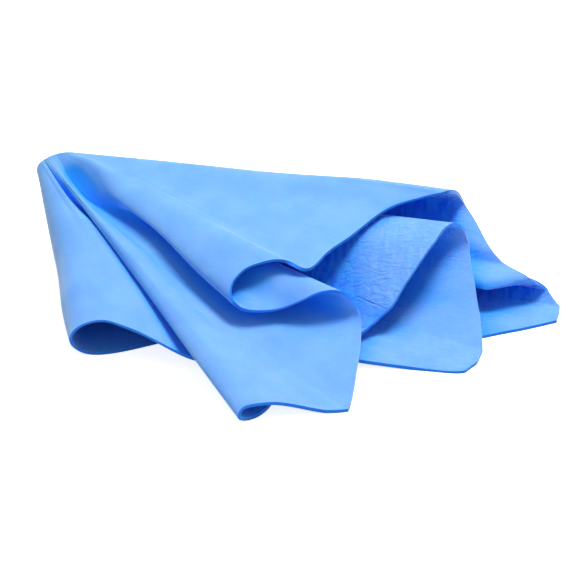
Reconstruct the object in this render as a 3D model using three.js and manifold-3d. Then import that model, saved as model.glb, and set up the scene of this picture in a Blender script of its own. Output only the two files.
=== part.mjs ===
// Chamois cloth: one soft blue sheet, picked up near its middle and laid down in folds.
// Every fold runs from the gathered peak at the back left to the rim of the sheet.
import * as THREE from "three";
import Module from "manifold-3d";

// Sizes in millimetres.
const spreadLength = 286.6;
const spreadDepth = 208.7;
const peakHeight = 60;
const clothThickness = 2;
const restFlatDepth = 0.5;
const gatherLength = 28;
const gatherHeight = 15;
const gatherEnd = 11;

// How the photograph sees the cloth, in its pixels.
const viewTilt = THREE.MathUtils.degToRad(28);
const photoPixels = { left: 37, floor: 417, wide: 521, deep: 379.5, tall: 109.1 };

// Rim of the sheet, walked once round. Each row is one point:
// pixels across, pixels down, share of the peak height,
// turn about the gathered peak in degrees, how fast the cloth falls on its way from the peak,
// and how far it bulges on that way, as a share of the peak height.
const rimPixelsAndShares = [
  // front left corner, long side behind the left roll
  [222, 331, 0.01, -118, 3, 0],
  [168, 340, 0.008, -136, 3, 0],
  [104, 353, 0.008, -156, 3, 0],
  // left roll
  [86, 351, 0.03, -163, 2.6, 0],
  [76, 345, 0.1, -170, 2, 0],
  [73.5, 337, 0.2, -177, 1.5, 0],
  [80, 328, 0.292, -184, 1.2, 0],
  [100, 320.5, 0.342, -192, 1, 0],
  [121, 324.5, 0.317, -200, 1, 0],
  [146, 334.5, 0.242, -207, 1, 0],
  [170, 347, 0.17, -213, 1, 0],
  [195, 358, 0.09, -218, 1.05, 0],
  [228, 365, 0.03, -221, 1.25, 0],
  // second roll, its mouth open to the front
  [250, 371.5, 0.018, -223, 1.45, 0],
  [272, 378, 0.053, -224.5, 1.35, 0],
  [273, 386, 0.092, -225.5, 1.2, 0],
  [273, 398, 0.073, -226.5, 1.15, 0],
  [262, 410.5, 0.023, -227.5, 1.1, 0],
  [249, 416, 0.017, -228.5, 1, 0],
  [240.5, 414, 0.07, -230, 1, 0],
  [243.5, 406.5, 0.13, -231.5, 1, 0],
  [255, 402.5, 0.155, -233, 1, 0],
  [275, 401, 0.137, -234, 1.08, 0],
  [300, 404.5, 0.077, -237, 1.2, 0],
  [325, 409, 0.02, -241, 1.35, 0],
  // front corner, then up the edge of the first panel
  [347, 408, 0.008, -245, 1.5, 0],
  [351, 396, 0.04, -249, 1.5, 0],
  [355, 372, 0.117, -251.5, 1.42, 0],
  [359.5, 342, 0.208, -254, 1.4, 0],
  [359.5, 318, 0.325, -256, 1.35, 0],
  [353, 303, 0.433, -258, 1.2, 0],
  [343, 294, 0.508, -260, 1, 0],
  [327, 291.5, 0.533, -262.5, 1, 0],
  [306, 298, 0.483, -266, 1, 0],
  // deep valley under the third roll
  [282, 308.5, 0.408, -270, 1, 0],
  [254, 311, 0.392, -274, 1, 0],
  [239, 307, 0.425, -278, 1, 0],
  [231.5, 295, 0.517, -281, 1, 0],
  // third roll and the small dip beside it
  [236, 279, 0.625, -284, 1, 0],
  [248, 268.5, 0.692, -285, 1, 0],
  [268, 262, 0.74, -286, 1, 0],
  [288, 262.5, 0.737, -287, 1, 0],
  [306, 270, 0.687, -288.5, 1, 0],
  // broad hump at the right, up to the highest part of the rim
  [327, 254, 0.737, -290, 1, 0],
  [353, 235, 0.783, -292, 1, 0.015],
  [383, 212, 0.858, -295, 1, 0.025],
  [411, 201, 0.917, -299, 1, 0.035],
  [436, 194.5, 0.958, -305, 1, 0.04],
  [450, 192, 0.963, -312, 1, 0.04],
  [462, 199, 0.875, -325, 1, 0.03],
  [475, 222, 0.7, -343, 1.1, 0.02],
  [492, 251, 0.5, -362, 1.3, 0],
  [508, 267, 0.38, -376, 1.6, 0],
  [527, 277.5, 0.26, -388, 1.8, 0],
  [546, 289.5, 0.12, -398, 2.2, 0],
  // right corner, then back under the cloth
  [559, 306.5, 0.02, -406, 3, 0],
  [555, 321.5, 0.008, -412, 3.5, 0],
  [517, 330, 0.008, -418, 4, 0],
  [447, 342, 0.008, -427, 4.5, 0],
  [375, 342, 0.008, -435, 4.5, 0],
  [330, 342, 0.01, -439, 4.5, 0],
  [306, 348, 0.015, -441, 4.4, 0],
  [294, 351, 0.05, -443, 3.6, 0],
  // front right panel, out to its corner
  [312, 353.5, 0.093, -446, 3, 0.013],
  [340, 357.5, 0.09, -448, 3, 0.04],
  [415, 368, 0.01, -450, 3, 0.057],
  [463, 370.5, 0.008, -452, 3, 0.053],
  [474, 362, 0.013, -453, 3, 0.05],
  [480.5, 350, 0.033, -454, 3, 0.043],
  [480, 330, 0.108, -455, 3, 0.025],
  [477, 309, 0.2, -456, 3, 0.008],
  [473, 282, 0.333, -457, 3, 0],
  [469, 252, 0.5, -458, 2.5, 0],
  // ridge of the second panel, then down its front and back to the first corner
  [466, 236, 0.633, -459, 2, 0],
  [459, 226.5, 0.733, -460, 1.6, 0],
  [449, 226, 0.775, -461, 1.5, 0],
  [438, 236, 0.75, -462, 1.5, 0],
  [424, 256, 0.658, -463.5, 1.5, 0],
  [405, 284, 0.475, -465.5, 1.5, 0],
  [390, 307, 0.317, -467.5, 1.5, 0],
  [375, 321.5, 0.208, -469, 1.5, 0],
  [360, 334, 0.142, -471, 1.6, 0],
  [335, 340.5, 0.153, -473, 1.8, 0],
  [282, 337, 0.15, -475, 2.1, 0.007],
  [247, 334, 0.067, -477, 2.6, 0],
];

// Folds that open only some way out. Closer to the peak than the near share of the spread
// they are still flat, along a straight line between their first and last row.
// Each pair is how far along that line a row lies, and its share of the peak height there.
const lateFoldShares = [
  {
    firstRow: 9,
    nearShare: 0.077,
    farShare: 0.192,
    lineShares: [
      [0, 0.242], [0.16, 0.23], [0.32, 0.19], [0.45, 0.1], [0.52, -0.03],
      [0.535, 0.03], [0.52, 0.09], [0.505, 0.14], [0.5, 0.18], [0.53, 0.21],
      [0.62, 0.215], [0.8, 0.19], [1, 0.155],
    ],
  },
  {
    firstRow: 22,
    nearShare: 0.087,
    farShare: 0.314,
    lineShares: [
      [0, 0.137], [0.16, 0.11], [0.32, 0.08], [0.48, 0.04], [0.62, 0], [0.74, -0.04],
      [0.84, -0.08], [0.92, -0.11], [0.98, -0.11], [1.02, -0.06], [1.04, 0.02], [1.05, 0.12],
      [1.05, 0.22], [1.04, 0.32], [1.02, 0.42], [1, 0.517],
    ],
  },
  {
    firstRow: 57,
    nearShare: 0.19,
    farShare: 0.366,
    lineShares: [
      [0, 0.008], [0.16, 0.008], [0.26, 0.017], [0.3, 0.033], [0.32, 0.058],
      [0.335, 0.083], [0.35, 0.117], [0.357, 0.15], [0.364, 0.183], [0.371, 0.217],
      [0.378, 0.25], [0.385, 0.283], [0.392, 0.325], [0.402, 0.383], [0.41, 0.517],
      [0.43, 0.5], [0.445, 0.633], [0.47, 0.733], [0.53, 0.775], [0.59, 0.75], [0.62, 0.658],
      [0.65, 0.475], [0.68, 0.317], [0.72, 0.208], [0.77, 0.142], [0.84, 0.153],
      [0.92, 0.15], [1, 0.067],
    ],
  },
];

// Rings of the sheet, as shares of the way from the gathered peak to the rim.
const ringShares = [0, 0.12, 0.26, 0.45, 0.7, 1];

// Where the cloth is squeezed together at the peak it is thinner than at its rim.
const squeezedThicknessShare = 0.4;
const fullThicknessShare = 0.7;

// Close to the peak the folds are rounded off, row into row.
const roundingPasses = 3;
const roundedToShare = 0.45;
const unroundedFromShare = 0.8;

// The folds at the front stay sharper: over which rows, and by how much.
const frontSharpShare = 0.75;
const frontRows = { from: 7, full: 10, lastFull: 30, to: 33 };

// The second roll lies down against the left one: how far, and over which rows.
const sagShare = 0.042;
const sagRows = { from: 11, full: 14, lastFull: 19, to: 26 };
const viewAway = new THREE.Vector3(0, Math.cos(viewTilt), -Math.sin(viewTilt));

// Round end behind the gathered peak.
const gatherPixels = [61, 165];
const gatherHeightShare = 0.883;
const gatherTurn = THREE.MathUtils.degToRad(20);
const gatherAcross = new THREE.Vector3(Math.cos(gatherTurn), Math.sin(gatherTurn), 0);
const gatherBackShares = [-0.2, 0.6, -0.77];
const gatherBack = new THREE.Vector3(...gatherBackShares).normalize();
const endRingAngle = THREE.MathUtils.degToRad(45);

function placeFromPhoto(acrossPixels, downPixels, heightShare) {
  const { left, floor, wide, deep, tall } = photoPixels;
  const risePixels = floor - downPixels - heightShare * tall * Math.cos(viewTilt);
  return new THREE.Vector3(
    (acrossPixels - left) * (spreadLength / wide),
    (risePixels / Math.sin(viewTilt)) * (spreadDepth / deep),
    heightShare * peakHeight,
  );
}

const gatherCentre = placeFromPhoto(...gatherPixels, gatherHeightShare);

function planDistance(a, b) {
  return Math.hypot(a.x - b.x, a.y - b.y);
}

// Oval loop of the gathered peak, narrowed and pushed back behind it for the round end.
function gatherPoint(turn, size, back) {
  const alongShare = (Math.cos(turn) * size) / 2;
  const upShare = (Math.sin(turn) * size) / 2;
  const point = gatherCentre.clone();
  point.addScaledVector(gatherAcross, gatherLength * alongShare);
  point.addScaledVector(gatherBack, gatherEnd * back);
  point.z += gatherHeight * upShare;
  return point;
}

function readRim() {
  const rows = rimPixelsAndShares.map(([across, down, height, turn, fall, bulge]) => {
    return {
      point: placeFromPhoto(across, down, height),
      turn: THREE.MathUtils.degToRad(turn),
      fall,
      bulge: bulge * peakHeight,
    };
  });
  for (const fold of lateFoldShares) {
    const first = rows[fold.firstRow].point;
    const last = rows[fold.firstRow + fold.lineShares.length - 1].point;
    fold.lineShares.forEach(([along, height], index) => {
      const row = rows[fold.firstRow + index];
      row.flatPoint = first.clone().lerp(last, along);
      row.flatPoint.z = height * peakHeight;
      row.near = fold.nearShare * spreadLength;
      row.far = fold.farShare * spreadLength;
    });
  }
  return rows;
}

// One over the full rows, falling to nothing outside them.
function rowShare(rowIndex, { from, full, lastFull, to }) {
  const rising = THREE.MathUtils.smoothstep(rowIndex, from, full);
  const falling = THREE.MathUtils.smoothstep(rowIndex, lastFull, to);
  return rising * (1 - falling);
}

function averageNeighbours(points) {
  const count = points.length;
  return points.map((point, index) => {
    const before = points[(index + count - 1) % count];
    const after = points[(index + 1) % count];
    const between = before.clone().add(after).multiplyScalar(0.5);
    return between.lerp(point, 0.5);
  });
}

function sheetRing(rows, share) {
  const ring = rows.map((row, rowIndex) => {
    const target = row.point.clone();
    if (row.flatPoint) {
      const reach = share * planDistance(row.point, gatherCentre);
      const open = THREE.MathUtils.smoothstep(reach, row.near, row.far);
      target.lerp(row.flatPoint, 1 - open);
    }
    const start = gatherPoint(row.turn, 1, 0);
    const point = start.clone().lerp(target, share);
    const drop = (start.z - target.z) * (1 - share) ** row.fall;
    const midShare = 4 * share * (1 - share);
    point.z = target.z + drop + row.bulge * midShare;
    const sag = rowShare(rowIndex, sagRows) * sagShare * spreadLength;
    return point.addScaledVector(viewAway, sag * midShare);
  });
  if (share === 0) {
    return ring;
  }
  let rounded = ring;
  for (let pass = 0; pass < roundingPasses; pass += 1) {
    rounded = averageNeighbours(rounded);
  }
  const sharp = THREE.MathUtils.smoothstep(share, roundedToShare, unroundedFromShare);
  return ring.map((point, rowIndex) => {
    const sharpRow = frontSharpShare * rowShare(rowIndex, frontRows);
    return point.lerp(rounded[rowIndex], (1 - sharp) * (1 - sharpRow));
  });
}

// Middle surface of the sheet: rings from the round end out to the rim.
function sheetRings(rows) {
  const back = Math.sin(endRingAngle);
  const endRing = rows.map((row) => gatherPoint(row.turn, Math.cos(endRingAngle), back));
  return [endRing, ...ringShares.map((share) => sheetRing(rows, share))];
}

function thicknessAt(point) {
  const fullReach = fullThicknessShare * spreadLength;
  const open = THREE.MathUtils.smoothstep(planDistance(point, gatherCentre), 0, fullReach);
  return clothThickness * THREE.MathUtils.lerp(squeezedThicknessShare, 1, open);
}

// Half the thickness, square to the sheet, at one point of one ring.
function halfThicknessStep(rings, tip, ringIndex, rowIndex) {
  const ring = rings[ringIndex];
  const count = ring.length;
  const around = ring[(rowIndex + 1) % count].clone().sub(ring[(rowIndex + count - 1) % count]);
  const inner = ringIndex === 0 ? tip : rings[ringIndex - 1][rowIndex];
  const outer = rings[Math.min(ringIndex + 1, rings.length - 1)][rowIndex];
  const outward = outer.clone().sub(inner);
  const square = outward.cross(around).normalize();
  return square.multiplyScalar(thicknessAt(ring[rowIndex]) / 2);
}

// Both faces of the sheet, joined round the rim into one closed body.
function thickSheet(rings) {
  const tip = gatherCentre.clone().addScaledVector(gatherBack, gatherEnd);
  const tipStep = gatherBack.clone().multiplyScalar(thicknessAt(gatherCentre) / 2);
  const rowCount = rings[0].length;
  const faceSize = rings.length * rowCount + 1;
  const positions = [];
  const triangles = [];
  for (const side of [1, -1]) {
    rings.forEach((ring, ringIndex) => {
      ring.forEach((point, rowIndex) => {
        const step = halfThicknessStep(rings, tip, ringIndex, rowIndex);
        positions.push(...point.clone().addScaledVector(step, side).toArray());
      });
    });
    positions.push(...tip.clone().addScaledVector(tipStep, side).toArray());
  }
  const addFace = (a, b, c, side, offset) => {
    const face = side === 1 ? [c, b, a] : [a, b, c];
    triangles.push(...face.map((corner) => corner + offset));
  };
  for (const side of [1, -1]) {
    const offset = side === 1 ? 0 : faceSize;
    for (let row = 0; row < rowCount; row += 1) {
      const next = (row + 1) % rowCount;
      for (let ring = 0; ring < rings.length - 1; ring += 1) {
        const a = ring * rowCount + row;
        const b = ring * rowCount + next;
        addFace(a, b, b + rowCount, side, offset);
        addFace(a, b + rowCount, a + rowCount, side, offset);
      }
      addFace(faceSize - 1, next, row, side, offset);
    }
  }
  const rimStart = (rings.length - 1) * rowCount;
  for (let row = 0; row < rowCount; row += 1) {
    const a = rimStart + row;
    const b = rimStart + ((row + 1) % rowCount);
    triangles.push(b, a, a + faceSize, b, a + faceSize, b + faceSize);
  }
  return { positions, triangles };
}

// Take the lowest layer off, so that the cloth stands flat, and set it down on the ground.
async function layOnGround({ positions, triangles }) {
  const wasm = await Module();
  wasm.setup();
  const body = new wasm.Manifold(
    new wasm.Mesh({
      numProp: 3,
      vertProperties: new Float32Array(positions),
      triVerts: new Uint32Array(triangles),
    }),
  );
  const ground = body.boundingBox().min[2] + restFlatDepth;
  const trimmed = body.trimByPlane([0, 0, 1], ground);
  const box = trimmed.boundingBox();
  const centred = trimmed.translate([
    -(box.min[0] + box.max[0]) / 2,
    -(box.min[1] + box.max[1]) / 2,
    -ground,
  ]);
  return centred.getMesh();
}

const cloth = await layOnGround(thickSheet(sheetRings(readRim())));

const geometry = new THREE.BufferGeometry();
geometry.setAttribute("position", new THREE.BufferAttribute(cloth.vertProperties, cloth.numProp));
geometry.setIndex(new THREE.BufferAttribute(cloth.triVerts, 1));
geometry.computeVertexNormals();

const chamoisBlue = new THREE.MeshStandardMaterial({
  color: new THREE.Color("#3f86e6"),
  roughness: 0.9,
  metalness: 0,
});

const sheet = new THREE.Mesh(geometry, chamoisBlue);
sheet.name = "chamois_sheet";

const chamois = new THREE.Group();
chamois.name = "chamois";
chamois.add(sheet);

export default chamois;
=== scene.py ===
"""Chamois cloth: one soft blue sheet, picked up near its middle and laid down in folds."""

import math

import bpy
import numpy as np
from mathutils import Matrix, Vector
from mathutils.bvhtree import BVHTree


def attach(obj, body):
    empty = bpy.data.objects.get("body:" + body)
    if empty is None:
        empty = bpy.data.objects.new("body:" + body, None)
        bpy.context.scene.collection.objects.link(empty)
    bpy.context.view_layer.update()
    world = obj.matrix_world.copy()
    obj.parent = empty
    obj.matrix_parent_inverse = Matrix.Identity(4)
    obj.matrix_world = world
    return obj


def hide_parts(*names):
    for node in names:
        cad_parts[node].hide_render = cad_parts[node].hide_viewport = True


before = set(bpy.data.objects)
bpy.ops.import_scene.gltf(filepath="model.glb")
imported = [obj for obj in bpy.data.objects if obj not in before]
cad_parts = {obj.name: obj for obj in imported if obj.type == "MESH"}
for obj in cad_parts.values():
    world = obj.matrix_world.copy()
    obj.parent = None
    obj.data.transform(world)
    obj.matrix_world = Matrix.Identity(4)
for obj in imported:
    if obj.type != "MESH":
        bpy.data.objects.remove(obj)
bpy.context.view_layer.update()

# Sizes in millimetres, but in metres where they are written times MM. The gathered peak is a
# flat loop with a round end behind it.
MM = 0.001
SPREAD_LENGTH = 286.6
SPREAD_DEPTH = 208.7
PEAK_HEIGHT = 60.0
CLOTH_THICKNESS = 2.0
GATHER_LENGTH = 28.0
GATHER_HEIGHT = 15.0
GATHER_END = 11.0
REST_LIFT = 0.3

# Below this a length counts as nothing.
TINY = 1e-9

# How the photograph sees the cloth: tilted down, with the cloth's left end, the front of its
# floor, and its length, depth and peak height in pixels.
VIEW_TILT = math.radians(28)
VIEW_AWAY = np.array([0, math.cos(VIEW_TILT), -math.sin(VIEW_TILT)])
LEFT_PIXELS = 37
FLOOR_PIXELS = 417
WIDE_PIXELS = 521
DEEP_PIXELS = 379.5
TALL_PIXELS = 109.1

# Rim of the sheet, walked once round: pixels across, pixels down, share of the peak height,
# turn about the gathered peak in degrees, how fast the cloth falls from the peak, and its bulge.
RIM_SHARES = [
    # front left corner, long side behind the left roll
    (222, 331, 0.01, -118, 3, 0),
    (168, 340, 0.008, -136, 3, 0),
    (104, 353, 0.008, -156, 3, 0),
    # left roll
    (86, 351, 0.03, -163, 2.6, 0),
    (76, 345, 0.1, -170, 2, 0),
    (73.5, 337, 0.2, -177, 1.5, 0),
    (80, 328, 0.292, -184, 1.2, 0),
    (100, 320.5, 0.342, -192, 1, 0),
    (121, 324.5, 0.317, -200, 1, 0),
    (146, 334.5, 0.242, -207, 1, 0),
    (170, 347, 0.17, -213, 1, 0),
    (195, 358, 0.09, -218, 1.05, 0),
    (228, 365, 0.03, -221, 1.25, 0),
    # second roll, its mouth open to the front
    (250, 371.5, 0.018, -223, 1.45, 0),
    (272, 378, 0.053, -224.5, 1.35, 0),
    (273, 386, 0.092, -225.5, 1.2, 0),
    (273, 398, 0.073, -226.5, 1.15, 0),
    (262, 410.5, 0.023, -227.5, 1.1, 0),
    (249, 416, 0.017, -228.5, 1, 0),
    (240.5, 414, 0.07, -230, 1, 0),
    (243.5, 406.5, 0.13, -231.5, 1, 0),
    (255, 402.5, 0.155, -233, 1, 0),
    (275, 401, 0.137, -234, 1.08, 0),
    (300, 404.5, 0.077, -237, 1.2, 0),
    (325, 409, 0.02, -241, 1.35, 0),
    # front corner, then up the edge of the first panel
    (347, 408, 0.008, -245, 1.5, 0),
    (351, 396, 0.04, -249, 1.5, 0),
    (355, 372, 0.117, -251.5, 1.42, 0),
    (359.5, 342, 0.208, -254, 1.4, 0),
    (359.5, 318, 0.325, -256, 1.35, 0),
    (353, 303, 0.45, -258, 1.2, -0.02),
    (343, 294, 0.545, -260, 1, -0.04),
    (327, 291.5, 0.575, -262.5, 1, -0.05),
    (306, 298, 0.515, -266, 1, -0.04),
    # deep valley under the third roll
    (282, 308.5, 0.408, -270, 1, 0),
    (254, 311, 0.392, -274, 1, 0),
    (239, 307, 0.425, -278, 1, 0),
    (231.5, 295, 0.517, -281, 1, 0),
    # third roll and the small dip beside it
    (236, 279, 0.625, -284, 1, 0),
    (248, 268.5, 0.692, -285, 1, 0),
    (268, 262, 0.74, -286, 1, 0),
    (288, 262.5, 0.737, -287, 1, 0),
    (306, 270, 0.687, -288.5, 1, 0),
    # broad hump at the right, up to the highest part of the rim
    (327, 254, 0.737, -290, 1, 0),
    (353, 235, 0.783, -292, 1, 0.015),
    (383, 212, 0.858, -295, 1, 0.025),
    (411, 201, 0.917, -299, 1, 0.035),
    (436, 194.5, 0.958, -305, 1, 0.04),
    (450, 192, 0.963, -312, 1, 0.04),
    (462, 199, 0.73, -325, 1, 0.03),
    (475, 222, 0.56, -343, 1.1, 0.02),
    (492, 251, 0.42, -362, 1.3, 0),
    (508, 267, 0.32, -376, 1.6, 0),
    (527, 277.5, 0.29, -388, 1.8, 0),
    (546, 289.5, 0.12, -398, 2.2, 0),
    # right corner, then back under the cloth
    (559, 306.5, 0.02, -406, 3, 0),
    (555, 321.5, 0.008, -412, 3.5, 0),
    (517, 330, 0.008, -418, 4, 0),
    (447, 342, 0.008, -427, 4.5, 0),
    (375, 342, 0.008, -435, 4.5, 0),
    (330, 342, 0.01, -439, 4.5, 0),
    (306, 348, 0.015, -441, 4.4, 0),
    (294, 351, 0.05, -443, 3.6, 0),
    # front right panel, out to its corner
    (312, 353.5, 0.093, -446, 3, 0.013),
    (340, 357.5, 0.09, -448, 3, 0.04),
    (415, 368, 0.01, -450, 3, 0.057),
    (463, 370.5, 0.008, -452, 3, 0.053),
    (474, 362, 0.013, -453, 3, 0.05),
    (480.5, 350, 0.033, -454, 3, 0.043),
    (480, 330, 0.108, -455, 3, 0.025),
    (477, 309, 0.2, -456, 3, 0.008),
    (473, 282, 0.333, -457, 3, 0),
    (469, 252, 0.5, -458, 2.5, 0),
    # ridge of the second panel, then down its front and back to the first corner
    (466, 236, 0.633, -459, 2, 0),
    (459, 226.5, 0.733, -460, 1.6, 0),
    (449, 226, 0.775, -461, 1.5, 0),
    (438, 236, 0.75, -462, 1.5, 0),
    (424, 256, 0.658, -463.5, 1.5, 0),
    (405, 284, 0.475, -465.5, 1.5, 0),
    (390, 307, 0.317, -467.5, 1.5, 0),
    (375, 321.5, 0.208, -469, 1.5, 0),
    (360, 334, 0.142, -471, 1.6, 0),
    (335, 340.5, 0.153, -473, 1.8, 0),
    (282, 337, 0.15, -475, 2.1, 0.007),
    (247, 334, 0.067, -477, 2.6, 0),
]

# Folds that open only some way out from the peak: first row, near and far share of the spread,
# then for each row how far along the line from first to last it lies, and its height share there.
LATE_FOLD_SHARES = [
    (9, 0.077, 0.192, [
        (0, 0.242), (0.16, 0.23), (0.32, 0.19), (0.45, 0.1), (0.52, -0.03),
        (0.535, 0.03), (0.52, 0.09), (0.505, 0.14), (0.5, 0.18), (0.53, 0.21),
        (0.62, 0.215), (0.8, 0.19), (1, 0.155),
    ]),
    (22, 0.087, 0.314, [
        (0, 0.137), (0.16, 0.11), (0.32, 0.08), (0.48, 0.04), (0.62, 0), (0.74, -0.04),
        (0.84, -0.08), (0.92, -0.11), (0.98, -0.11), (1.02, -0.06), (1.04, 0.02), (1.05, 0.12),
        (1.05, 0.22), (1.04, 0.32), (1.02, 0.42), (1, 0.517),
    ]),
    (57, 0.19, 0.366, [
        (0, 0.008), (0.16, 0.008), (0.26, 0.017), (0.3, 0.033), (0.32, 0.058),
        (0.335, 0.083), (0.35, 0.117), (0.357, 0.15), (0.364, 0.183), (0.371, 0.217),
        (0.378, 0.25), (0.385, 0.283), (0.392, 0.325), (0.402, 0.383), (0.41, 0.517),
        (0.43, 0.5), (0.445, 0.633), (0.47, 0.733), (0.53, 0.775), (0.59, 0.75), (0.62, 0.658),
        (0.65, 0.475), (0.68, 0.317), (0.72, 0.208), (0.77, 0.142), (0.84, 0.153),
        (0.92, 0.15), (1, 0.067),
    ]),
]

# Rows outside the late folds: the number they carry, and reaches that leave them fully open.
NO_FOLD = -1
NO_FOLD_REACH = (-2.0, -1.0)

# Rows whose stretch of rim, up to the next row, is cut straight instead of curved.
STRAIGHT_SHARES = {24: 0.7, 25: 0.8, 54: 0.8, 55: 1, 56: 1, 66: 0.8, 67: 1, 68: 1}

# The sheet is squeezed thinner at the peak, and in bends too tight for its thickness.
SQUEEZED_THICKNESS_SHARE = 0.4
FULL_THICKNESS_SHARE = 0.7
BEND_ROOM_SHARE = 0.8

# The folds are rounded near the peak, less so in the front rows.
ROUNDING_PASSES = 3
ROUNDING_FULL_SHARE = 0.06
ROUNDED_TO_SHARE = 0.45
UNROUNDED_FROM_SHARE = 0.8
FRONT_SHARP_SHARE = 0.75
FRONT_ROWS = (7, 10, 30, 33)

# Buckle of the right flap, open to the front: the row, then how far the sheet moves across,
# back and up there, as shares of the peak height; and between which rings it opens and closes.
BUCKLE_SHARES = [
    (51.4, 0, 0, 0), (52, 0, -0.03, 0), (52.4, 0, -0.09, 0), (52.75, 0, -0.18, 0),
    (53, 0, -0.25, -0.015), (53.15, 0, -0.265, -0.025), (53.3, 0, -0.22, -0.025),
    (53.45, 0, -0.12, -0.02), (53.6, 0, -0.02, -0.01), (53.9, 0, 0.05, 0),
    (54.2, 0, 0.07, 0), (54.6, 0, 0.05, 0), (55, 0, 0.02, 0), (55.6, 0, 0, 0),
]
BUCKLE_RINGS = (0.66, 0.8, 0.9, 1.0)

# Valley that opens right below the peak, between the second and the third roll: the row, then how
# far the sheet moves across and up there, as shares of the gathered length.
PEAK_VALLEY_SHARES = [
    (19, 0, 0), (23, 0.01, -0.07), (27, 0.03, -0.18), (31, 0.06, -0.24), (34, 0.1, -0.22),
    (36, 0.16, -0.1), (37, 0.2, -0.01), (38, 0.2, 0.01), (40, 0.17, 0.005), (44, 0.08, 0),
    (49, 0, 0),
]
PEAK_VALLEY_RINGS = (0, 0.07, 0.1, 0.36)

# Where the sheet is crumpled, row by row: on its outer face, then on its inner face.
CRUMPLED_SHARES = [
    (0, 0.3, 0.3), (3, 0, 0), (34, 0, 0), (37, 0.05, 1), (49, 0.05, 1), (51, 0.1, 0.3),
    (53.2, 0.1, 0.3), (53.6, 1, 1), (54.8, 1, 1), (55.4, 0.2, 0.2), (70, 0.2, 0.2),
    (74, 0.9, 0.9), (83, 0.9, 0.9), (85, 0.3, 0.3),
]
CRUMPLED_RINGS = (0.45, 0.7)

# How deep in a fold, or near the floor, each place lies is felt for in this many directions, out
# to this reach, from a share of the thickness above the surface, and then evened out this many
# times. It sets how much painted shade the colour gets there.
FOLD_DIRECTIONS = 20
FOLD_REACH = 50 * MM
FOLD_LIFT_SHARE = 0.25
FOLD_LEAST_RISE = 0.1
FOLD_EVENING = 4

# The valley below the peak gets the painted shade of a deep fold once the sheet has sunk this
# far, up to this much of it.
PEAK_VALLEY_DEPTH = 6.0
PEAK_VALLEY_PAINTED_SHADE = 0.75

# The cut edge is slightly wavy: how far in and out, the waves' lengths in rows, and the ring
# they start at. The rows of the second roll stay calm.
EDGE_WAVE = 0.16
EDGE_WAVE_ROWS = (1.31, 2.9)
EDGE_WAVE_FROM_SHARE = 0.96
EDGE_CALM_ROWS = (10, 12, 24, 26)

# The gathered peak: its middle, the way its long side runs, and the way its end points.
GATHER_PIXELS = (61, 165)
GATHER_HEIGHT_SHARE = 0.883
GATHER_TURN = math.radians(20)
GATHER_ACROSS = np.array([math.cos(GATHER_TURN), math.sin(GATHER_TURN), 0])
GATHER_END_SLOPE = (-0.2, 0.6, -0.77)
GATHER_BACK = np.array(GATHER_END_SLOPE) / math.hypot(*GATHER_END_SLOPE)

# The second roll lies down against the left one: how far, and over which rows.
SAG_SHARE = 0.042
SAG_ROWS = (11, 14, 19, 26)

# How finely the sheet is cut up: steps from row to row, and rings from the peak to the rim.
STEPS_PER_ROW = 8
NEAR_RINGS = 13
FAR_RINGS = 43
NEAR_RINGS_TO_SHARE = 0.3
RING_SHARES = np.concatenate(
    [
        np.linspace(0, NEAR_RINGS_TO_SHARE, NEAR_RINGS),
        np.linspace(NEAR_RINGS_TO_SHARE, 1, FAR_RINGS)[1:],
    ]
)
END_RING_ANGLES = (75, 60, 45, 30, 15)
SMOOTH_ANGLE = math.radians(50)
ALL_RING_SHARES = np.concatenate([np.zeros(len(END_RING_ANGLES)), RING_SHARES])


def smoothstep(x, low, high):
    """Rises smoothly from 0 at low to 1 at high."""
    t = np.clip((x - low) / (high - low), 0, 1)
    return t * t * (3 - 2 * t)


def plateau(x, starts, full, last_full, ends):
    """1 between full and last_full, falling smoothly to 0 at starts and ends."""
    return smoothstep(x, starts, full) * (1 - smoothstep(x, last_full, ends))


def bow(share):
    """1 halfway between the peak and the rim, 0 at both."""
    return 4 * share * (1 - share)


def place_from_photo(across, down, height_share):
    """Millimetres, from pixels across and down and a share of the peak height."""
    rise = FLOOR_PIXELS - down - height_share * TALL_PIXELS * math.cos(VIEW_TILT)
    return np.stack(
        [
            (across - LEFT_PIXELS) * (SPREAD_LENGTH / WIDE_PIXELS),
            rise / math.sin(VIEW_TILT) * (SPREAD_DEPTH / DEEP_PIXELS),
            height_share * PEAK_HEIGHT,
        ],
        axis=-1,
    )


GATHER_CENTRE = place_from_photo(*GATHER_PIXELS, GATHER_HEIGHT_SHARE)


def periodic_spline(knots, values, where):
    """Smooth closed curve through the values; knots has one more entry than values."""
    count = len(values)
    step = np.diff(knots)
    slope = (np.roll(values, -1, axis=0) - values) / step[:, None]
    left = np.roll(step, 1)
    system = np.zeros((count, count))
    for i in range(count):
        system[i, i] = 2 * (left[i] + step[i])
        system[i, (i + 1) % count] += step[i]
        system[i, i - 1] += left[i]
    bend = np.linalg.solve(system, 6 * (slope - np.roll(slope, 1, axis=0)))
    index = np.clip(np.searchsorted(knots, where, side="right") - 1, 0, count - 1)
    h = step[index][:, None]
    t = (where - knots[index])[:, None]
    after = (index + 1) % count
    a = (bend[after] - bend[index]) / (6 * h)
    b = bend[index] / 2
    c = (values[after] - values[index]) / h - h * (2 * bend[index] + bend[after]) / 6
    return ((a * t + b) * t + c) * t + values[index]


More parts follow.
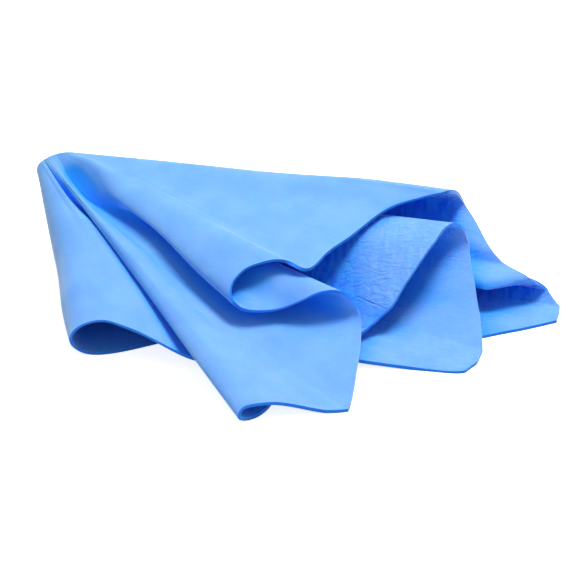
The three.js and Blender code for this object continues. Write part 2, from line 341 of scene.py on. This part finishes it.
def steady_curve(knots, values, where):
    """Curve through the values that never overshoots between two of them."""
    step = np.diff(knots)
    slope = np.diff(values) / step
    tangent = np.zeros(len(values))
    rising = slope[1:] * slope[:-1] > 0
    one = 2 * step[1:] + step[:-1]
    two = step[1:] + 2 * step[:-1]
    inner = np.where(rising, slope[1:] * slope[:-1], 0)
    share = np.where(rising, one * slope[1:] + two * slope[:-1], 1)
    tangent[1:-1] = np.where(rising, (one + two) * inner / share, 0)
    tangent[0], tangent[-1] = slope[0], slope[-1]
    index = np.clip(np.searchsorted(knots, where, side="right") - 1, 0, len(step) - 1)
    h = step[index]
    t = (where - knots[index]) / h
    return (
        (1 + 2 * t) * (1 - t) ** 2 * values[index]
        + t * (1 - t) ** 2 * h * tangent[index]
        + t * t * (3 - 2 * t) * values[index + 1]
        + t * t * (t - 1) * h * tangent[index + 1]
    )


def lay_late_folds(point):
    """Where each row lies while its late fold is closed, over what reach that opens, and which."""
    count = len(point)
    flat_point = point.copy()
    near = np.full(count, NO_FOLD_REACH[0])
    far = np.full(count, NO_FOLD_REACH[1])
    fold = np.full(count, NO_FOLD)
    for number, (first, near_share, far_share, line) in enumerate(LATE_FOLD_SHARES):
        last = first + len(line) - 1
        for offset, (along, height_share) in enumerate(line):
            row = first + offset
            flat_point[row] = point[first] + (point[last] - point[first]) * along
            flat_point[row, 2] = height_share * PEAK_HEIGHT
            near[row] = near_share * SPREAD_LENGTH
            far[row] = far_share * SPREAD_LENGTH
            fold[row] = number
    return flat_point, near, far, fold


def rim_line(knots, point, where):
    """The line of the rim: curved through its rows, but cut straight where STRAIGHT_SHARES says."""
    curved = periodic_spline(knots, point, where)
    after = np.repeat(np.roll(point, -1, axis=0), STEPS_PER_ROW, axis=0)
    step = np.tile(np.arange(STEPS_PER_ROW) / STEPS_PER_ROW, len(point))[:, None]
    before = np.repeat(point, STEPS_PER_ROW, axis=0)
    straight = before + (after - before) * step
    straightness = np.zeros(len(point))
    for row, share in STRAIGHT_SHARES.items():
        straightness[row] = share
    return curved + (straight - curved) * np.repeat(straightness, STEPS_PER_ROW)[:, None]


def read_rim():
    """The rim's places, turns and falls, with STEPS_PER_ROW fine steps from row to row."""
    across, down, height, turn, fall, bulge = np.array(RIM_SHARES, float).T
    point = place_from_photo(across, down, height)
    flat_point, near, far, fold = lay_late_folds(point)
    gap = np.sqrt(np.linalg.norm(np.roll(point, -1, axis=0) - point, axis=1))
    knots = np.concatenate([[0], np.cumsum(gap)])
    where = np.concatenate(
        [
            np.linspace(start, end, STEPS_PER_ROW, endpoint=False)
            for start, end in zip(knots[:-1], knots[1:])
        ]
    )

    def fine(values, turn_round=0.0):
        return steady_curve(knots, np.append(values, values[0] + turn_round), where)

    fine_fold = np.repeat(np.where(fold == np.roll(fold, -1), fold, NO_FOLD), STEPS_PER_ROW)
    fine_fold[::STEPS_PER_ROW] = fold
    inside = fine_fold != NO_FOLD
    return {
        "point": rim_line(knots, point, where),
        "flat_point": np.stack([fine(flat_point[:, k]) for k in range(3)], axis=1),
        "near": np.where(inside, np.repeat(near, STEPS_PER_ROW), NO_FOLD_REACH[0]),
        "far": np.where(inside, np.repeat(far, STEPS_PER_ROW), NO_FOLD_REACH[1]),
        "turn": fine(np.radians(turn), -2 * math.pi),
        "fall": fine(fall),
        "bulge": fine(bulge * PEAK_HEIGHT),
    }


def gather_points(turn, size, back):
    """A loop about the gathered peak: its share of the full size, and how far along its end."""
    point = GATHER_CENTRE + np.outer(np.cos(turn) * size * GATHER_LENGTH / 2, GATHER_ACROSS)
    point[:, 2] += np.sin(turn) * size * GATHER_HEIGHT / 2
    return point + GATHER_BACK * GATHER_END * back


def buckle(row, share):
    """How far the buckle moves each row of one ring."""
    opens, full, last_full, closes = BUCKLE_RINGS
    past = np.clip((share - last_full) / (closes - last_full), 0, 1)
    size = smoothstep(share, opens, full) * (1 - past)
    knots, *moves = np.array(BUCKLE_SHARES).T
    where = np.clip(row, knots[0], knots[-1])
    move = np.stack([steady_curve(knots, values, where) for values in moves], axis=1)
    return size * PEAK_HEIGHT * move


def peak_valley(row, share):
    """How far the valley below the peak moves each row of one ring."""
    size = plateau(share, *PEAK_VALLEY_RINGS)
    knots, across, up = np.array(PEAK_VALLEY_SHARES).T
    where = np.clip(row, knots[0], knots[-1])
    move = np.zeros((len(row), 3))
    move[:, 0] = steady_curve(knots, across, where)
    move[:, 2] = steady_curve(knots, up, where)
    return size * GATHER_LENGTH * move


def edge_wave(ring, row, share):
    """Small waves of the cut edge, in and out of the sheet."""
    outward = (ring - GATHER_CENTRE) * (1, 1, 0)
    outward /= np.linalg.norm(outward, axis=1, keepdims=True) + TINY
    wave = sum(np.sin(2 * math.pi * row / length) for length in EDGE_WAVE_ROWS)
    size = EDGE_WAVE * smoothstep(share, EDGE_WAVE_FROM_SHARE, 1)
    size = size * (1 - plateau(row, *EDGE_CALM_ROWS))
    return (size * wave)[:, None] * outward


def sheet_ring(rim, share):
    """The ring that lies this share of the way from the gathered peak to the rim."""
    reach = share * np.linalg.norm((rim["point"] - GATHER_CENTRE)[:, :2], axis=1)
    closed = 1 - smoothstep(reach, rim["near"], rim["far"])
    target = rim["point"] + closed[:, None] * (rim["flat_point"] - rim["point"])
    start = gather_points(rim["turn"], 1, 0)
    ring = start + (target - start) * share
    drop = (start[:, 2] - target[:, 2]) * (1 - share) ** rim["fall"]
    ring[:, 2] = target[:, 2] + drop + rim["bulge"] * bow(share)
    row = np.arange(len(ring)) / STEPS_PER_ROW
    sag = plateau(row, *SAG_ROWS) * SAG_SHARE * SPREAD_LENGTH * bow(share)
    ring += np.outer(sag, VIEW_AWAY)
    ring += peak_valley(row, share) + edge_wave(ring, row, share)
    if share == 0:
        return ring
    rounded = ring.copy()
    for _ in range(ROUNDING_PASSES * STEPS_PER_ROW**2):
        rounded = (2 * rounded + np.roll(rounded, 1, axis=0) + np.roll(rounded, -1, axis=0)) / 4
    rounding = min(1, share / ROUNDING_FULL_SHARE)
    rounding *= 1 - smoothstep(share, ROUNDED_TO_SHARE, UNROUNDED_FROM_SHARE)
    rounding = rounding * (1 - FRONT_SHARP_SHARE * plateau(row, *FRONT_ROWS))
    return ring + (rounded - ring) * rounding[:, None] + buckle(row, share)


def sheet_rings():
    """Middle surface of the sheet, from the round end behind the peak out to the rim."""
    rim = read_rim()
    rings = []
    for angle in END_RING_ANGLES:
        radians = math.radians(angle)
        rings.append(gather_points(rim["turn"], math.cos(radians), math.sin(radians)))
    rings += [sheet_ring(rim, share) for share in RING_SHARES]
    return np.array(rings)


def surface_normals(rings, tip):
    """The way that each place of the middle surface faces."""
    around = np.roll(rings, -1, axis=1) - np.roll(rings, 1, axis=1)
    inner = np.concatenate([np.broadcast_to(tip, rings[:1].shape), rings[:-1]])
    outer = np.concatenate([rings[1:], rings[-1:]])
    square = np.cross(outer - inner, around)
    return square / (np.linalg.norm(square, axis=2, keepdims=True) + TINY)


def thickness(rings):
    """The sheet's thickness at each place: less at the peak and in bends with no room for it."""
    reach = np.linalg.norm((rings - GATHER_CENTRE)[..., :2], axis=2)
    open_share = smoothstep(reach, 0, FULL_THICKNESS_SHARE * SPREAD_LENGTH)
    share = SQUEEZED_THICKNESS_SHARE + (1 - SQUEEZED_THICKNESS_SHARE) * open_share
    return np.minimum(CLOTH_THICKNESS * share, tightest_thickness(rings))


def tightest_thickness(rings):
    """The most thickness that each bend leaves room for, evened out over its neighbours."""
    step = np.roll(rings, -1, axis=1) - rings
    length = np.linalg.norm(step, axis=2) + TINY
    along = step / length[..., None]
    bend = np.linalg.norm(along - np.roll(along, 1, axis=1), axis=2)
    room = BEND_ROOM_SHARE * (length + np.roll(length, 1, axis=1)) / (bend + TINY)
    for _ in range(STEPS_PER_ROW):
        room = np.minimum(room, np.minimum(np.roll(room, 1, axis=1), np.roll(room, -1, axis=1)))
        room[1:-1] = np.minimum(room[1:-1], np.minimum(room[2:], room[:-2]))
    room = np.minimum(room, CLOTH_THICKNESS)
    for _ in range(STEPS_PER_ROW):
        room = (2 * room + np.roll(room, 1, axis=1) + np.roll(room, -1, axis=1)) / 4
        room[1:-1] = (2 * room[1:-1] + room[2:] + room[:-2]) / 4
    return room


def thick_sheet(rings):
    """Both faces of the sheet joined round its rim, as corner places and faces."""
    tip = GATHER_CENTRE + GATHER_BACK * GATHER_END
    normal = surface_normals(rings, tip)
    half = thickness(rings)[..., None] / 2
    tip_step = GATHER_BACK * SQUEEZED_THICKNESS_SHARE * CLOTH_THICKNESS / 2
    ring_count, row_count, _ = rings.shape
    face_size = ring_count * row_count + 1
    corners = []
    faces = []
    for side in (1, -1):
        corners += [(rings + side * half * normal).reshape(-1, 3), [tip + side * tip_step]]
        offset = 0 if side == 1 else face_size
        for row in range(row_count):
            after = (row + 1) % row_count
            for ring in range(ring_count - 1):
                a = offset + ring * row_count + row
                b = offset + ring * row_count + after
                face = (a, a + row_count, b + row_count, b)
                faces.append(face if side == 1 else face[::-1])
            end = (offset + face_size - 1, offset + row, offset + after)
            faces.append(end if side == 1 else end[::-1])
    start = (ring_count - 1) * row_count
    for row in range(row_count):
        a = start + row
        b = start + (row + 1) % row_count
        faces.append((b, a, a + face_size, b + face_size))
    return np.vstack(corners), faces


def mark_rim(mesh, first_rim_face):
    """One value per face: 1 on the cut edge of the sheet, 0 elsewhere."""
    values = np.zeros(len(mesh.polygons), dtype=np.float32)
    values[first_rim_face:] = 1
    mesh.attributes.new("cut_edge", "FLOAT", "FACE").data.foreach_set("value", values)


def mark_crumpled(mesh, row_count):
    """One value per corner: how crumpled the sheet is there."""
    size = smoothstep(ALL_RING_SHARES, *CRUMPLED_RINGS)
    row = np.arange(row_count) / STEPS_PER_ROW
    knots, *faces = np.array(CRUMPLED_SHARES).T
    values = np.concatenate(
        [np.append(np.outer(size, steady_curve(knots, face, row)).ravel(), 0) for face in faces]
    )
    crumpled = mesh.attributes.new("crumpled", "FLOAT", "POINT")
    crumpled.data.foreach_set("value", values.astype(np.float32))


def even_directions(count):
    """Directions spread evenly over a ball, along a spiral from its top to its bottom."""
    golden_turn = math.pi * (3 - math.sqrt(5))
    directions = []
    for i in range(count):
        up = 1 - 2 * (i + 0.5) / count
        turn = i * golden_turn
        flat = math.sqrt(1 - up * up)
        directions.append(Vector((flat * math.cos(turn), flat * math.sin(turn), up)))
    return directions


def closed_in(mesh):
    """For each corner, the share of the ways out that folds or the floor close."""
    tree = BVHTree.FromPolygons(
        [corner.co for corner in mesh.vertices], [face.vertices for face in mesh.polygons]
    )
    directions = even_directions(FOLD_DIRECTIONS)
    depth = np.zeros(len(mesh.vertices))
    for i, corner in enumerate(mesh.vertices):
        start = corner.co + corner.normal * CLOTH_THICKNESS * FOLD_LIFT_SHARE * MM
        facing = [way for way in directions if way.dot(corner.normal) > FOLD_LEAST_RISE]
        closed = [
            start.z + way.z * FOLD_REACH < 0 or tree.ray_cast(start, way, FOLD_REACH)[0] is not None
            for way in facing
        ]
        depth[i] = sum(closed) / max(1, len(facing))
    return depth


def mark_painted_shade(mesh, ring_count, row_count):
    """One value per corner: how deep in a fold or near the floor it lies, for the painted shade."""
    faces = closed_in(mesh).reshape(2, -1)
    grid = faces[:, :-1].reshape(2, ring_count, row_count)
    for _ in range(FOLD_EVENING):
        grid = (2 * grid + np.roll(grid, 1, axis=2) + np.roll(grid, -1, axis=2)) / 4
        grid[:, 1:-1] = (2 * grid[:, 1:-1] + grid[:, 2:] + grid[:, :-2]) / 4
    row = np.arange(row_count) / STEPS_PER_ROW
    # Painted shade in the sunk valley below the peak as well.
    sunk = np.array([-peak_valley(row, share)[:, 2] for share in ALL_RING_SHARES])
    grid = np.maximum(grid, PEAK_VALLEY_PAINTED_SHADE * np.clip(sunk / PEAK_VALLEY_DEPTH, 0, 1))
    faces[:, :-1] = grid.reshape(2, -1)
    folds = mesh.attributes.new("painted_fold_shade", "FLOAT", "POINT")
    folds.data.foreach_set("value", faces.ravel().astype(np.float32))


def make_cloth():
    """The finished sheet, and how far it was moved to lie centred on the floor."""
    rings = sheet_rings()
    ring_count, row_count, _ = rings.shape
    corners, faces = thick_sheet(rings)
    low, high = corners.min(axis=0), corners.max(axis=0)
    shift = np.array([-(low[0] + high[0]) / 2, -(low[1] + high[1]) / 2, REST_LIFT])
    corners = corners + shift
    corners[:, 2] = np.maximum(corners[:, 2], 0)
    mesh = bpy.data.meshes.new("chamois_cloth")
    mesh.from_pydata((corners * MM).tolist(), [], faces)
    mesh.validate()
    mark_rim(mesh, len(faces) - row_count)
    mark_crumpled(mesh, row_count)
    mark_painted_shade(mesh, ring_count, row_count)
    cloth = bpy.data.objects.new("chamois_cloth", mesh)
    bpy.context.scene.collection.objects.link(cloth)
    bpy.ops.object.select_all(action="DESELECT")
    cloth.select_set(True)
    bpy.context.view_layer.objects.active = cloth
    bpy.ops.object.shade_smooth_by_angle(angle=SMOOTH_ANGLE)
    return cloth, shift


cloth, cloth_shift = make_cloth()


# Chamois: a saturated blue sheet that light sinks into, with a soft pale sheen.
CHAMOIS_LIGHT = (0.19, 0.445, 1.0, 1)
CHAMOIS_DEEP = (0.155, 0.4, 0.99, 1)
# Painted shade: deeper, more saturated blues for the folds and near the floor, where shade falls,
# paler and darker by the wrinkles.
PAINTED_FOLD_SHADE_PALE = (0.02, 0.33, 1.0, 1)
PAINTED_FOLD_SHADE_DARK = (0.005, 0.2, 0.9, 1)
CHAMOIS_EDGE = (0.02, 0.25, 0.9, 1)
CHAMOIS_SINK = (0.05, 0.28, 1.0)
CHAMOIS_SINK_DEPTH = 1.8 * MM
CHAMOIS_SINK_SHARE = 0.7
CHAMOIS_ROUGHNESS = 0.6
CHAMOIS_GLOSS = 0.08
CHAMOIS_SHEEN = 0.5
CHAMOIS_SHEEN_ROUGHNESS = 0.45

# Each pattern: its size across, back and up, its detail, how far it is twisted out of straight,
# and how deep it presses into the surface.
MOTTLE_SIZE = (16 * MM, 16 * MM, 16 * MM)
MOTTLE_DETAIL = 4.0
GRAIN_SIZE = (0.9 * MM, 0.9 * MM, 0.9 * MM)
GRAIN_DETAIL = 2.0
GRAIN_DEPTH = 0.05 * MM
STREAK_SIZE = (3 * MM, 14 * MM, 10 * MM)
STREAK_DETAIL = 3.0
STREAK_TWIST = 0.3
STREAK_DEPTH = 0.5 * MM
RIPPLE_SIZE = (8 * MM, 4.5 * MM, 4.5 * MM)
RIPPLE_DETAIL = 2.0
RIPPLE_TWIST = 1.2
RIPPLE_DEPTH = 1.3 * MM

# Streaks and ripples keep this share of their depth where the sheet isn't crumpled.
SMOOTH_SHARE = 0.12

# Between which values each pattern, or the painted shade of the folds, goes from none to full.
MOTTLE_SPREAD = (0.3, 0.7)
STREAK_DYE_SPREAD = (0.35, 0.65)
STREAK_DYE_SHARE = 0.7
WRINKLE_SPREAD = (0.4, 0.62)
PAINTED_SHADE_SPREAD = (0.1, 0.65)

# Fine creases, pressed in along straight lines: both ends in the photograph's pixels, then depth.
CREASES = [
    ((127, 173), (272, 247), 0.12 * MM),
    ((352, 295), (390, 311), 0.4 * MM),
    ((472, 271), (508, 277), 0.2 * MM),
    ((402, 306), (396, 348), 0.12 * MM),
]
CREASE_WIDTH = 0.9 * MM
CREASE_FADE = 8 * MM
CREASE_HEIGHT_SHARE = 0.5


class ChamoisNodes:
    """Adds nodes to the chamois material and links them up."""

    def __init__(self, tree):
        self.nodes = tree.nodes
        self.links = tree.links
        self.place = self.nodes.new("ShaderNodeTexCoord").outputs["Object"]

    def join(self, source, target):
        """Sets the socket to a plain value, or links it to another socket."""
        if isinstance(source, (int, float, tuple)):
            target.default_value = source
        else:
            self.links.new(source, target)

    def maths(self, operation, first, second=0.0):
        node = self.nodes.new("ShaderNodeMath")
        node.operation = operation
        self.join(first, node.inputs[0])
        self.join(second, node.inputs[1])
        return node.outputs["Value"]

    def dot(self, vector, direction):
        """How far the vector reaches in that direction."""
        node = self.nodes.new("ShaderNodeVectorMath")
        node.operation = "DOT_PRODUCT"
        self.join(vector, node.inputs[0])
        node.inputs[1].default_value = tuple(direction)
        return node.outputs["Value"]

    def spread(self, value, low, high, low_to=0.0, high_to=1.0):
        """Goes smoothly from low_to, where the value is low, to high_to, where it is high."""
        node = self.nodes.new("ShaderNodeMapRange")
        node.interpolation_type = "SMOOTHSTEP"
        self.join(value, node.inputs["Value"])
        node.inputs["From Min"].default_value = low
        node.inputs["From Max"].default_value = high
        node.inputs["To Min"].default_value = low_to
        node.inputs["To Max"].default_value = high_to
        return node.outputs["Result"]

    def pattern(self, size, detail, twist=0.0):
        """A soft irregular pattern whose patches have that size."""
        mapping = self.nodes.new("ShaderNodeMapping")
        mapping.inputs["Scale"].default_value = tuple(1 / side for side in size)
        self.links.new(self.place, mapping.inputs["Vector"])
        noise = self.nodes.new("ShaderNodeTexNoise")
        noise.inputs["Scale"].default_value = 1
        noise.inputs["Detail"].default_value = detail
        noise.inputs["Distortion"].default_value = twist
        self.links.new(mapping.outputs["Vector"], noise.inputs["Vector"])
        return noise.outputs["Fac"]

    def crease(self, start, end):
        """1 along the line from start to end, 0 away from it."""
        ends = [
            (place_from_photo(*pixels, CREASE_HEIGHT_SHARE) + cloth_shift) * MM
            for pixels in (start, end)
        ]
        across = np.cross(ends[1] - ends[0], VIEW_AWAY)
        across /= np.linalg.norm(across)
        along = np.cross(VIEW_AWAY, across)
        along *= math.copysign(1, along @ (ends[1] - ends[0]))
        sideways = self.maths("SUBTRACT", self.dot(self.place, across), float(across @ ends[0]))
        line = self.spread(self.maths("ABSOLUTE", sideways), 0, CREASE_WIDTH, 1, 0)
        onward = self.dot(self.place, along)
        first, last = float(along @ ends[0]), float(along @ ends[1])
        begun = self.spread(onward, first, first + CREASE_FADE)
        ended = self.spread(onward, last - CREASE_FADE, last, 1, 0)
        return self.maths("MULTIPLY", line, self.maths("MULTIPLY", begun, ended))

    def attribute(self, name):
        node = self.nodes.new("ShaderNodeAttribute")
        node.attribute_name = name
        return node.outputs["Fac"]

    def mix(self, share, first, second):
        node = self.nodes.new("ShaderNodeMix")
        node.data_type = "RGBA"
        first_colour, second_colour = (socket for socket in node.inputs if socket.type == "RGBA")
        self.join(share, node.inputs["Factor"])
        self.join(first, first_colour)
        self.join(second, second_colour)
        return next(socket for socket in node.outputs if socket.type == "RGBA")


def chamois_colour(chamois, streaks, crumpled):
    """Mottled blue, streaked where crumpled, painted shade in folds and by the floor, bluer cut
    edge.
    """
    mottle = chamois.spread(chamois.pattern(MOTTLE_SIZE, MOTTLE_DETAIL), *MOTTLE_SPREAD)
    streaked = chamois.spread(streaks, *STREAK_DYE_SPREAD, -1, 1)
    streaked = chamois.maths("MULTIPLY", streaked, crumpled)
    dye = chamois.maths("ADD", mottle, chamois.maths("MULTIPLY", streaked, STREAK_DYE_SHARE))
    face_colour = chamois.mix(dye, CHAMOIS_DEEP, CHAMOIS_LIGHT)
    # Painted shade: the deeper blue goes where folds or the floor close the place in.
    painted_shade_share = chamois.spread(chamois.attribute("painted_fold_shade"), *PAINTED_SHADE_SPREAD)
    wrinkled = chamois.maths("MULTIPLY", chamois.spread(streaks, *WRINKLE_SPREAD), crumpled)
    painted_shade_colour = chamois.mix(wrinkled, PAINTED_FOLD_SHADE_PALE, PAINTED_FOLD_SHADE_DARK)
    face_colour = chamois.mix(painted_shade_share, face_colour, painted_shade_colour)
    return chamois.mix(chamois.attribute("cut_edge"), face_colour, CHAMOIS_EDGE)


def chamois_relief(chamois, streaks, crumpled):
    """Height of the surface: streaks and ripples where crumpled, grain and creases on top."""
    ripples = chamois.pattern(RIPPLE_SIZE, RIPPLE_DETAIL, RIPPLE_TWIST)
    grain = chamois.pattern(GRAIN_SIZE, GRAIN_DETAIL)
    height = chamois.maths("MULTIPLY", streaks, STREAK_DEPTH)
    height = chamois.maths("ADD", height, chamois.maths("MULTIPLY", ripples, RIPPLE_DEPTH))
    height = chamois.maths("MULTIPLY", height, chamois.maths("ADD", crumpled, SMOOTH_SHARE))
    height = chamois.maths("ADD", height, chamois.maths("MULTIPLY", grain, GRAIN_DEPTH))
    for start, end, depth in CREASES:
        pressed = chamois.maths("MULTIPLY", chamois.crease(start, end), depth)
        height = chamois.maths("SUBTRACT", height, pressed)
    return height


def chamois_material():
    """Blue chamois, with its colour and its relief."""
    material = bpy.data.materials.new("blue_chamois")
    material.use_nodes = True
    shader = material.node_tree.nodes["Principled BSDF"]
    shader.inputs["Roughness"].default_value = CHAMOIS_ROUGHNESS
    shader.inputs["Specular IOR Level"].default_value = CHAMOIS_GLOSS
    shader.inputs["Subsurface Weight"].default_value = CHAMOIS_SINK_SHARE
    shader.inputs["Subsurface Radius"].default_value = CHAMOIS_SINK
    shader.inputs["Subsurface Scale"].default_value = CHAMOIS_SINK_DEPTH
    shader.inputs["Sheen Weight"].default_value = CHAMOIS_SHEEN
    shader.inputs["Sheen Roughness"].default_value = CHAMOIS_SHEEN_ROUGHNESS

    chamois = ChamoisNodes(material.node_tree)
    streaks = chamois.pattern(STREAK_SIZE, STREAK_DETAIL, STREAK_TWIST)
    crumpled = chamois.attribute("crumpled")
    chamois.join(chamois_colour(chamois, streaks, crumpled), shader.inputs["Base Color"])
    bump = chamois.nodes.new("ShaderNodeBump")
    bump.inputs["Distance"].default_value = 1
    chamois.join(chamois_relief(chamois, streaks, crumpled), bump.inputs["Height"])
    chamois.join(bump.outputs["Normal"], shader.inputs["Normal"])
    return material


cloth.data.materials.append(chamois_material())
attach(cloth, "root")
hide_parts("chamois_sheet")


WHITE = (1, 1, 1, 1)


def backdrop_rays(tree):
    """1 for the rays that see the backdrop: from the camera, and by gloss or through glass."""
    rays = tree.nodes.new("ShaderNodeLightPath")
    seen = rays.outputs["Is Camera Ray"]
    for kind in ("Is Glossy Ray", "Is Transmission Ray"):
        node = tree.nodes.new("ShaderNodeMath")
        node.operation = "MAXIMUM"
        tree.links.new(seen, node.inputs[0])
        tree.links.new(rays.outputs[kind], node.inputs[1])
        seen = node.outputs["Value"]
    return seen


# Floor, its side in metres. Seen from the camera, most of its brightness is the white backdrop's
# and the rest keeps the shadow.
FLOOR_SIDE = 12.0
FLOOR_COLOUR = (0.8, 0.8, 0.8, 1)
FLOOR_ROUGHNESS = 0.9
FLOOR_WHITE_SHARE = 0.82


def pale_floor_material():
    material = bpy.data.materials.new("pale_floor")
    material.use_nodes = True
    tree = material.node_tree
    shader = tree.nodes["Principled BSDF"]
    shader.inputs["Base Color"].default_value = FLOOR_COLOUR
    shader.inputs["Roughness"].default_value = FLOOR_ROUGHNESS
    shader.inputs["Emission Color"].default_value = WHITE
    white = tree.nodes.new("ShaderNodeMapRange")
    white.inputs["To Max"].default_value = FLOOR_WHITE_SHARE
    tree.links.new(backdrop_rays(tree), white.inputs["Value"])
    tree.links.new(white.outputs["Result"], shader.inputs["Emission Strength"])
    return material


def lay_floor():
    bpy.ops.object.select_all(action="DESELECT")
    bpy.ops.mesh.primitive_plane_add(size=FLOOR_SIDE)
    floor = bpy.context.object
    floor.name = "floor"
    floor.data.materials.append(pale_floor_material())
    return floor


lay_floor()

# Camera, as the photograph looks: from the front, tilted down, through a long lens. Its distance
# and far end are in metres, its sensor in millimetres.
CAMERA_DISTANCE = 6.0
CAMERA_FAR_END = 50.0
CAMERA_SENSOR = 36.0
FRAME_PIXELS = 576


def set_camera():
    """The camera, aimed at the floor point in the middle of the photograph."""
    data = bpy.data.cameras.new("camera")
    camera = bpy.data.objects.new("camera", data)
    bpy.context.scene.collection.objects.link(camera)
    bpy.context.scene.camera = camera
    frame_width = FRAME_PIXELS * SPREAD_LENGTH / WIDE_PIXELS * MM
    data.sensor_width = CAMERA_SENSOR
    data.lens = CAMERA_SENSOR * CAMERA_DISTANCE / frame_width
    data.clip_end = CAMERA_FAR_END
    aim = (place_from_photo(FRAME_PIXELS / 2, FRAME_PIXELS / 2, 0) + cloth_shift) * MM
    toward_cloth = Vector(VIEW_AWAY)
    camera.location = Vector(aim) - toward_cloth * CAMERA_DISTANCE
    camera.rotation_mode = "QUATERNION"
    camera.rotation_quaternion = toward_cloth.to_track_quat("-Z", "Y")


set_camera()

# One soft lamp above the cloth, a little to its right and back, in metres and watts.
LAMP_PLACE = (0.2, 0.18, 1.2)
LAMP_AIM = (0, 0, 0.03)
LAMP_SIDE = 0.42
LAMP_POWER = 14.8


def hang_lamp():
    data = bpy.data.lights.new("key", "AREA")
    data.shape = "SQUARE"
    data.size = LAMP_SIDE
    data.energy = LAMP_POWER
    lamp = bpy.data.objects.new("key", data)
    lamp.location = LAMP_PLACE
    lamp.rotation_mode = "QUATERNION"
    lamp.rotation_quaternion = (Vector(LAMP_AIM) - Vector(LAMP_PLACE)).to_track_quat("-Z", "Y")
    bpy.context.scene.collection.objects.link(lamp)


hang_lamp()

# The world is white where the camera sees it and dim where it lights the cloth.
WORLD_LIGHT = 0.38


def set_world():
    world = bpy.data.worlds.new("world")
    bpy.context.scene.world = world
    world.use_nodes = True
    tree = world.node_tree
    background = tree.nodes["Background"]
    background.inputs["Color"].default_value = WHITE
    strength = tree.nodes.new("ShaderNodeMapRange")
    strength.inputs["To Min"].default_value = WORLD_LIGHT
    tree.links.new(backdrop_rays(tree), strength.inputs["Value"])
    tree.links.new(strength.outputs["Result"], background.inputs["Strength"])


set_world()
bpy.context.scene.view_settings.view_transform = "Standard"
